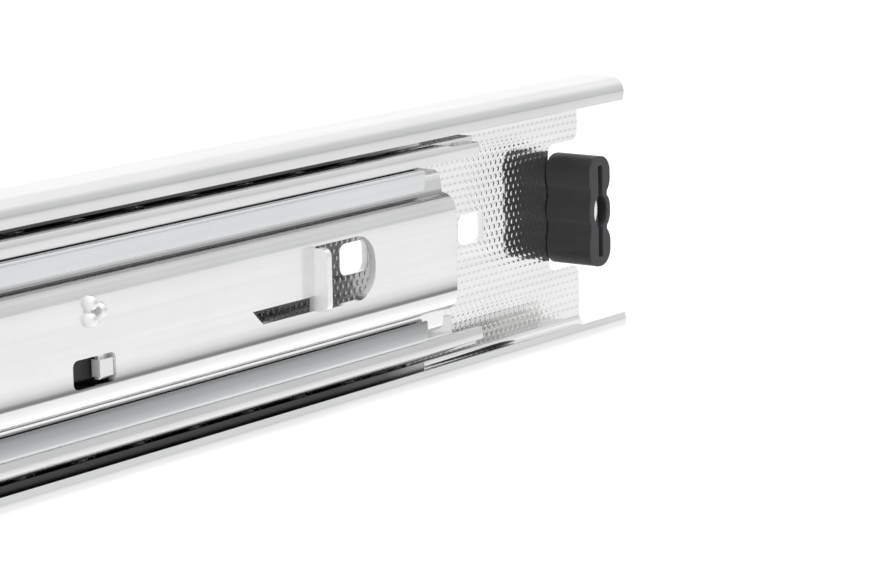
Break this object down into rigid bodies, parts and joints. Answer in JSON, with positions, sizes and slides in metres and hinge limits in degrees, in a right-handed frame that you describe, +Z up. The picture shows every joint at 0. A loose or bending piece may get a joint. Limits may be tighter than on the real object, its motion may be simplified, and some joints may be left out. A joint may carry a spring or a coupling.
{
  "type": "drawer slide",
  "caption": "Three-section full-extension ball-bearing drawer slide with rubber rear bumper, ball retainers and a release lever.",
  "frame": {"origin": "on the cabinet plane (the outer rail's back face), at the middle of the outer rail's length and height", "axes": "+X along the rails towards the rear (bumper) end, +Y into the cabinet side, +Z up; the drawer opens towards -X"},
  "size_m": [0.3415, 0.0152, 0.0454],
  "materials": {
    "rail_steel": "bright zinc plated, satin, rolled sheet",
    "cage_steel": "bright zinc plated thin strip",
    "cage_black": "blackened thin strip with a film of grease",
    "ball_steel": "polished hardened steel",
    "rivet_steel": "zinc plated",
    "spring_steel": "spring steel strip",
    "rubber_black": "matte moulded rubber",
    "lever_plastic": "black moulded plastic",
    "catch_steel": "zinc plated pressed steel"
  },
  "bodies": {
    "cabinet_rail": {"outer_rail": "rail_steel", "rear_bumper": "rubber_black"},
    "outer_retainer": {"outer_cage_upper": "cage_black", "outer_cage_lower": "cage_black", "outer_balls_upper": "ball_steel", "outer_balls_lower": "ball_steel"},
    "middle_rail": {"intermediate_rail": "rail_steel", "catch_block": "catch_steel", "catch_rivets": "rivet_steel"},
    "inner_retainer": {"inner_cage_upper": "cage_steel", "inner_cage_lower": "cage_steel", "inner_balls_upper": "ball_steel", "inner_balls_lower": "ball_steel"},
    "drawer_rail": {"inner_rail": "rail_steel", "lever_rivet": "rivet_steel", "latch_plate": "rivet_steel", "lever_washer": "rivet_steel"},
    "lever": {"release_lever": "lever_plastic", "lever_spring": "spring_steel"}
  },
  "joints": [
    {"name": "middle_slide", "type": "slide", "parent": "cabinet_rail", "child": "middle_rail", "axis": [-1, 0, 0], "range_m": [-0.022, 0.128]},
    {"name": "drawer_slide", "type": "slide", "parent": "middle_rail", "child": "drawer_rail", "axis": [-1, 0, 0], "range_m": [-0.0194, 0.13]},
    {"name": "outer_retainer_roll", "type": "slide", "parent": "cabinet_rail", "child": "outer_retainer", "axis": [-1, 0, 0], "range_m": [-0.0115, 0.0645]},
    {"name": "inner_retainer_roll", "type": "slide", "parent": "middle_rail", "child": "inner_retainer", "axis": [-1, 0, 0], "range_m": [-0.0102, 0.0655]},
    {"name": "lever_press", "type": "hinge", "parent": "drawer_rail", "child": "lever", "pos_m": [0.0116, -0.0097, 0.005], "axis": [0, 1, 0], "range_deg": [0, 4], "stiffness_Nm_per_rad": 0.6, "springref_deg": -5.73}
  ],
  "couplings": [
    {"joint": "outer_retainer_roll", "follows": "middle_slide", "ratio": 0.5},
    {"joint": "inner_retainer_roll", "follows": "drawer_slide", "ratio": 0.5}
  ]
}
